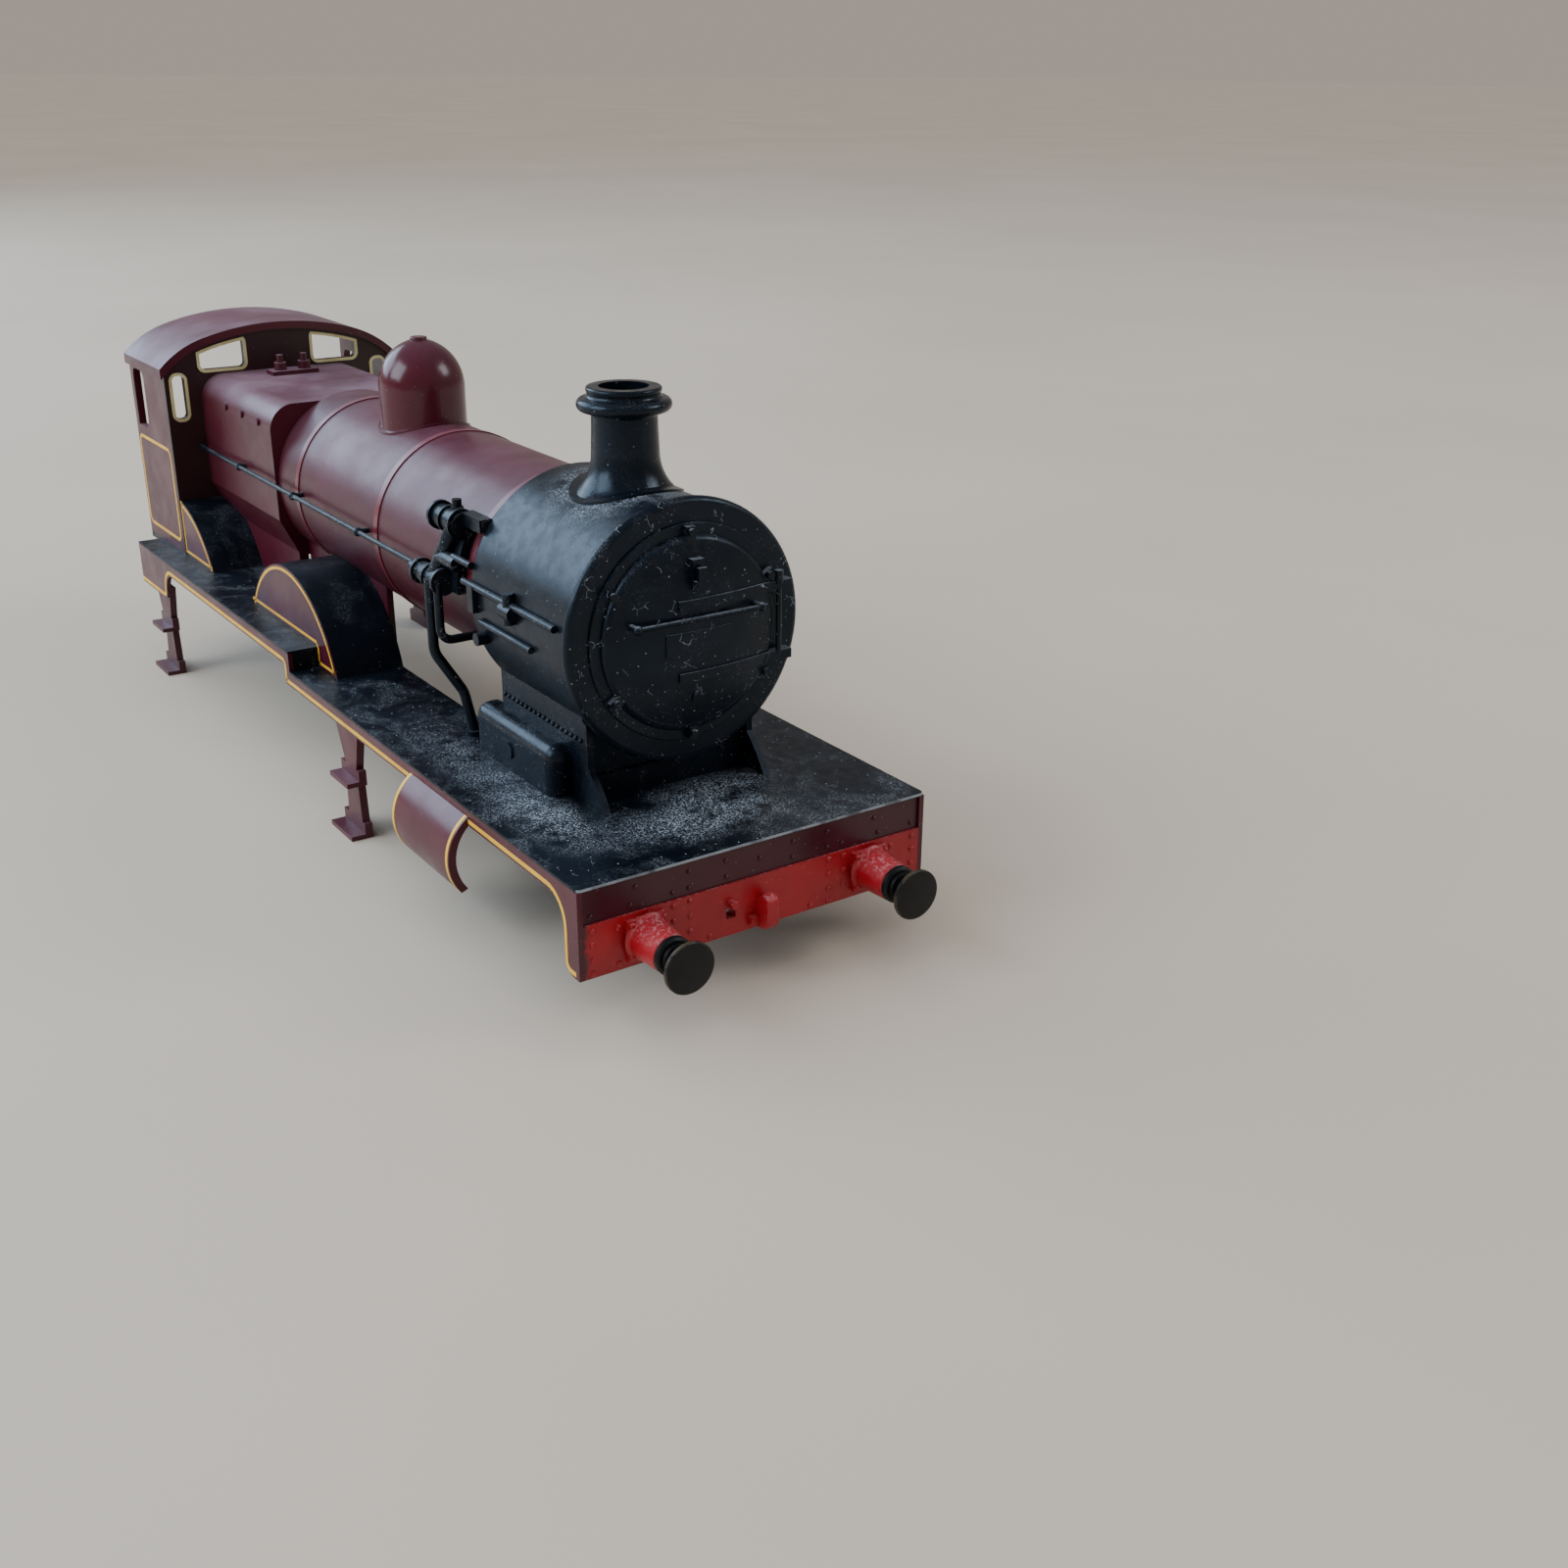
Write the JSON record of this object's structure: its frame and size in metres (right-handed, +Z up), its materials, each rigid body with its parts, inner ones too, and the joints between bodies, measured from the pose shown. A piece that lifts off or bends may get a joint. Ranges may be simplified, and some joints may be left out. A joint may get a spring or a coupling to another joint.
{
  "type": "model locomotive body shell",
  "caption": "Moulded small-scale steam locomotive body shell with boiler, cab, splashers, steps and sprung buffers, made to sit on a separate chassis.",
  "frame": {"origin": "centre of the bounding box's bottom face, on the surface the four step feet stand on", "axes": "+X towards the buffers at the front, +Y to the locomotive's left side, +Z up"},
  "size_m": [0.1286, 0.0396, 0.0476],
  "materials": {
    "maroon_plastic": "semi-gloss deep crimson",
    "black_plastic": "satin black with dust",
    "red_plastic": "satin bright red",
    "blackened_metal": "chemically blackened, turned",
    "spring_steel": "bright wire",
    "cream_paint": "satin cream-yellow paint"
  },
  "bodies": {
    "shell": {"boiler_bands": "maroon_plastic", "boiler_barrel": "maroon_plastic", "brake_pipe_stub": "red_plastic", "buffer_beam": "red_plastic", "buffer_bush_left": "blackened_metal", "buffer_bush_right": "blackened_metal", "buffer_housing_left": "red_plastic", "buffer_housing_right": "red_plastic", "buffer_spring_left": "spring_steel", "buffer_spring_right": "spring_steel", "cab_front": "maroon_plastic", "cab_roof": "maroon_plastic", "cab_side_left": "maroon_plastic", "cab_side_right": "maroon_plastic", "chimney": "black_plastic", "coupling_hook": "red_plastic", "cylinder_cover_left": "maroon_plastic", "cylinder_cover_right": "maroon_plastic", "dome": "maroon_plastic", "door_dogs": "black_plastic", "door_handrail": "black_plastic", "door_hinge_straps": "black_plastic", "door_lamp_bracket": "black_plastic", "door_plate": "black_plastic", "ejector": "black_plastic", "firebox": "maroon_plastic", "firebox_fittings": "maroon_plastic", "footplate": "black_plastic", "footplate_lip": "black_plastic", "frame_side_left": "maroon_plastic", "frame_side_right": "maroon_plastic", "front_frame_plate": "maroon_plastic", "handrail_left": "black_plastic", "handrail_right": "black_plastic", "mid_steps_left": "maroon_plastic", "mid_steps_right": "maroon_plastic", "rear_steps_left": "maroon_plastic", "rear_steps_right": "maroon_plastic", "saddle": "black_plastic", "saddle_apron": "black_plastic", "saddle_wing_left": "black_plastic", "saddle_wing_right": "black_plastic", "smokebox": "black_plastic", "smokebox_door": "black_plastic", "smokebox_front_ring": "black_plastic", "smokebox_pipes_left": "black_plastic", "smokebox_pipes_right": "black_plastic", "splasher_leading_left": "black_plastic", "splasher_leading_right": "black_plastic", "splasher_trailing_left": "black_plastic", "splasher_trailing_right": "black_plastic", "valance_left": "maroon_plastic", "valance_right": "maroon_plastic", "valve_chest_cover_left": "black_plastic", "valve_chest_cover_right": "black_plastic", "window_rims": "cream_paint"},
    "right_buffer": {"buffer_head_right": "blackened_metal", "buffer_shank_right": "blackened_metal"},
    "left_buffer": {"buffer_head_left": "blackened_metal", "buffer_shank_left": "blackened_metal"}
  },
  "joints": [
    {"name": "right_buffer_slide", "type": "slide", "parent": "shell", "child": "right_buffer", "axis": [-1, 0, 0], "range_m": [0, 0.001], "stiffness_N_per_m": 150, "springref_m": -0.0008, "deforming": ["buffer_spring_right"]},
    {"name": "left_buffer_slide", "type": "slide", "parent": "shell", "child": "left_buffer", "axis": [-1, 0, 0], "range_m": [0, 0.001], "stiffness_N_per_m": 150, "springref_m": -0.0008, "deforming": ["buffer_spring_left"]}
  ]
}
